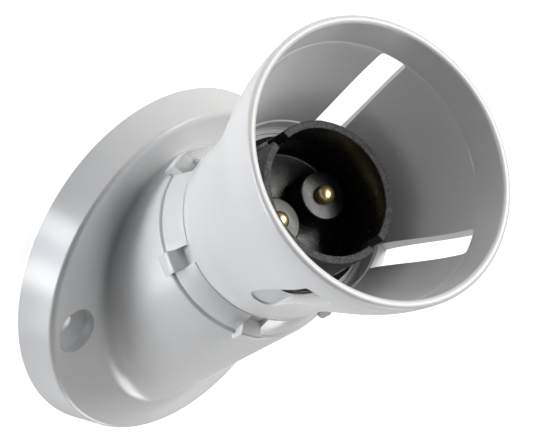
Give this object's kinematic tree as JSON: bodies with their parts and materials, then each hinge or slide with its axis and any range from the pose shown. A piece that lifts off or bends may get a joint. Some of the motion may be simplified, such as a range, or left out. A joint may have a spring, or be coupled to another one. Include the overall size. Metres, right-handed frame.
{
  "type": "batten lamp holder",
  "caption": "Angled wall or ceiling lamp holder: round screw-on base, slanted neck, grip ring, flared skirt and a two-pin bayonet barrel with sprung plunger contacts.",
  "frame": {"origin": "centre of the base's back face, midway between the two wall screws", "axes": "+Z out from the wall, +X towards the side that the neck leans to, +Y towards one wall screw"},
  "size_m": [0.098, 0.0666, 0.0733],
  "materials": {
    "white_moulding": "pale grey-white glossy moulded plastic",
    "skirt_moulding": "pale grey-white moulded plastic, satin inside",
    "black_moulding": "black heat-resistant moulding, fine grain",
    "brass": "turned brass",
    "spring_steel": "plain drawn wire",
    "plated_steel": "zinc plated"
  },
  "bodies": {
    "root": {"base": "white_moulding", "lamp_barrel": "black_moulding", "terminal_block": "black_moulding", "terminal_line": "brass", "terminal_neutral": "brass", "terminal_loop": "brass", "terminal_earth": "brass", "block_screw_a": "plated_steel", "block_screw_b": "plated_steel", "spring_line": "spring_steel", "spring_neutral": "spring_steel"},
    "lock_ring": {"lock_ring": "white_moulding"},
    "skirt": {"skirt": "skirt_moulding"},
    "plunger_line": {"plunger_line": "brass"},
    "plunger_neutral": {"plunger_neutral": "brass"},
    "clamp_screw_line": {"clamp_screw_line": "plated_steel"},
    "clamp_screw_neutral": {"clamp_screw_neutral": "plated_steel"},
    "clamp_screw_loop": {"clamp_screw_loop": "plated_steel"},
    "clamp_screw_earth": {"clamp_screw_earth": "plated_steel"}
  },
  "joints": [
    {"name": "skirt_lift_off", "type": "slide", "parent": "root", "child": "skirt", "axis": [0.7071, 0, 0.7071], "range_m": [0, 0.024]},
    {"name": "lock_ring_turn", "type": "hinge", "parent": "root", "child": "lock_ring", "pos_m": [0.01827, 0, 0.02687], "axis": [0.7071, 0, 0.7071], "continuous": true},
    {"name": "plunger_line_push", "type": "slide", "parent": "root", "child": "plunger_line", "axis": [-0.7071, 0, -0.7071], "range_m": [0, 0.004], "stiffness_N_per_m": 400, "springref_m": -0.004, "deforming": ["spring_line"]},
    {"name": "plunger_neutral_push", "type": "slide", "parent": "root", "child": "plunger_neutral", "axis": [-0.7071, 0, -0.7071], "range_m": [0, 0.004], "stiffness_N_per_m": 400, "springref_m": -0.004, "deforming": ["spring_neutral"]},
    {"name": "clamp_screw_line_back_off", "type": "slide", "parent": "root", "child": "clamp_screw_line", "axis": [0, 1, 0], "range_m": [0, 0.0016]},
    {"name": "clamp_screw_neutral_back_off", "type": "slide", "parent": "root", "child": "clamp_screw_neutral", "axis": [0, -1, 0], "range_m": [0, 0.0016]},
    {"name": "clamp_screw_loop_back_off", "type": "slide", "parent": "root", "child": "clamp_screw_loop", "axis": [0.7071, 0, -0.7071], "range_m": [0, 0.0016]},
    {"name": "clamp_screw_earth_back_off", "type": "slide", "parent": "root", "child": "clamp_screw_earth", "axis": [-0.7071, 0, 0.7071], "range_m": [0, 0.0016]}
  ]
}
